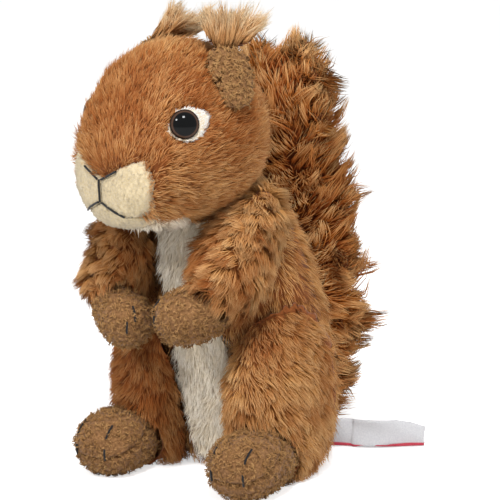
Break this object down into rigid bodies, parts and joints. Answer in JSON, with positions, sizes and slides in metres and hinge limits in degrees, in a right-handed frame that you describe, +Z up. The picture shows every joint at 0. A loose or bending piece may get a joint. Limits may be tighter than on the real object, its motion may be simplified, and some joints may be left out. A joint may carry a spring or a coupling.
{
  "type": "plush squirrel",
  "caption": "Sitting plush squirrel with a turned head, tufted ears, a tall bushy tail, a white front and boucle paws and feet.",
  "frame": {"origin": "on the surface that it sits on, under the middle of the seat", "axes": "+Z up, the body faces -Y, the squirrel's left is +X"},
  "size_m": [0.1074, 0.156, 0.1983],
  "materials": {
    "russet_pile": "short to medium russet polyester pile, laid",
    "long_russet_pile": "long russet polyester pile with pale tips, in locks",
    "white_pile": "soft white polyester pile",
    "cream_velour": "cream short-pile velour",
    "brown_boucle": "brown curled boucle fleece",
    "white_felt": "white short pile",
    "black_brown_plastic": "polished, black pupil and brown rim",
    "white_polypropylene": "moulded",
    "black_thread": "black embroidery thread",
    "white_satin": "white satin ribbon"
  },
  "bodies": {
    "root": {"torso": "russet_pile", "head": "russet_pile", "arm_left": "russet_pile", "arm_right": "russet_pile", "leg_left": "russet_pile", "leg_right": "russet_pile", "tail": "long_russet_pile", "ear_tuft_left": "long_russet_pile", "ear_tuft_right": "long_russet_pile", "belly_panel": "white_pile", "throat_panel": "white_pile", "muzzle_left": "cream_velour", "muzzle_right": "cream_velour", "chin": "cream_velour", "ear_left": "brown_boucle", "ear_right": "brown_boucle", "paw_left": "brown_boucle", "paw_right": "brown_boucle", "foot_left": "brown_boucle", "foot_right": "brown_boucle", "eye_patch_left": "white_felt", "eye_patch_right": "white_felt", "eye_left": "black_brown_plastic", "eye_right": "black_brown_plastic", "eye_washer_left": "white_polypropylene", "eye_washer_right": "white_polypropylene", "nose_stitch_centre": "black_thread", "nose_stitch_left": "black_thread", "nose_stitch_right": "black_thread", "mouth_stitch_left": "black_thread", "mouth_stitch_right": "black_thread", "foot_left_claw_1": "black_thread", "foot_left_claw_2": "black_thread", "foot_left_claw_3": "black_thread", "foot_left_claw_4": "black_thread", "paw_left_claw_1": "black_thread", "paw_left_claw_2": "black_thread", "foot_right_claw_1": "black_thread", "foot_right_claw_2": "black_thread", "foot_right_claw_3": "black_thread", "foot_right_claw_4": "black_thread", "paw_right_claw_1": "black_thread", "paw_right_claw_2": "black_thread", "label": "white_satin"}
  },
  "joints": []
}
